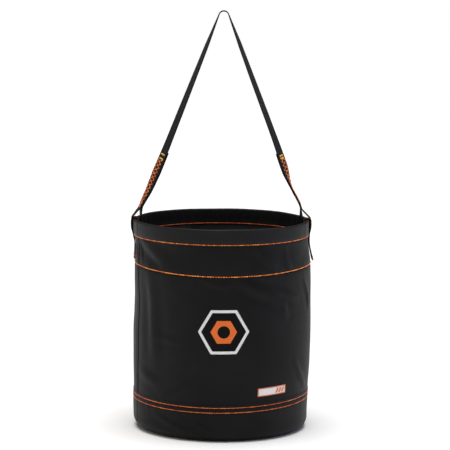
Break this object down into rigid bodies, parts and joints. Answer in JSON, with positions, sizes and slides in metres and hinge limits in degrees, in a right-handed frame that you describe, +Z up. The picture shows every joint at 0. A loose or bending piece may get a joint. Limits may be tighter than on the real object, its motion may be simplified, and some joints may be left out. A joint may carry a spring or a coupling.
{
  "type": "tool bucket organizer",
  "caption": "Round black fabric hoist bucket for tools, with orange stitching, a stiff hemmed mouth, a flat base and a webbing handle that swings across the mouth.",
  "frame": {"origin": "middle of the bucket's underside, on the surface it stands on", "axes": "+Z up the bucket's axis to the handle, -Y the front with the badge, +X to the right handle end"},
  "size_m": [0.3274, 0.3206, 0.751],
  "materials": {
    "coated_fabric": "black coated woven fabric, low sheen",
    "lining_fabric": "black lining cloth",
    "webbing": "black woven webbing",
    "orange_thread": "orange polyester thread",
    "yellow_thread": "golden polyester thread",
    "hoop_plastic": "black plastic strip",
    "base_board": "black plastic sheet",
    "badge_black": "moulded black patch",
    "badge_white": "moulded white raised line",
    "badge_orange": "moulded orange raised shape",
    "label_white": "woven white label",
    "label_orange": "woven orange thread"
  },
  "bodies": {
    "bucket": {"outer_wall": "coated_fabric", "wall_lining": "lining_fabric", "rim_hoop": "hoop_plastic", "rim_hem": "coated_fabric", "top_facing": "lining_fabric", "side_seam_front_left": "coated_fabric", "side_seam_rear_right": "coated_fabric", "foot_cup": "coated_fabric", "foot_band": "coated_fabric", "base_board": "base_board", "floor_lining": "lining_fabric", "rim_stitch": "orange_thread", "rim_stitch_inside": "orange_thread", "band_stitch": "orange_thread", "base_stitch_upper": "orange_thread", "base_stitch_lower": "orange_thread", "badge_backing": "badge_black", "badge_border": "badge_white", "badge_emblem": "badge_orange", "label_field": "label_white", "label_edge": "label_orange", "label_stripes": "label_orange", "rim_saddle_left": "webbing", "rim_saddle_right": "webbing", "anchor_strap_outer_left": "webbing", "anchor_strap_outer_right": "webbing", "anchor_strap_inner_left": "webbing", "anchor_strap_inner_right": "webbing", "hem_bartack_left": "orange_thread", "hem_bartack_right": "orange_thread", "tail_bartack_left": "orange_thread", "tail_bartack_right": "orange_thread", "rim_bartack_left": "orange_thread", "rim_bartack_right": "orange_thread"},
    "handle": {"handle_strap": "webbing", "handle_splice_left": "webbing", "handle_splice_right": "webbing", "splice_stitch_left": "orange_thread", "splice_stitch_right": "orange_thread", "splice_bartack_left": "yellow_thread", "splice_bartack_right": "yellow_thread"}
  },
  "joints": [
    {"name": "handle_swing", "type": "hinge", "parent": "bucket", "child": "handle", "pos_m": [0, 0, 0.408], "axis": [1, 0, 0], "range_deg": [-90, 90]}
  ]
}
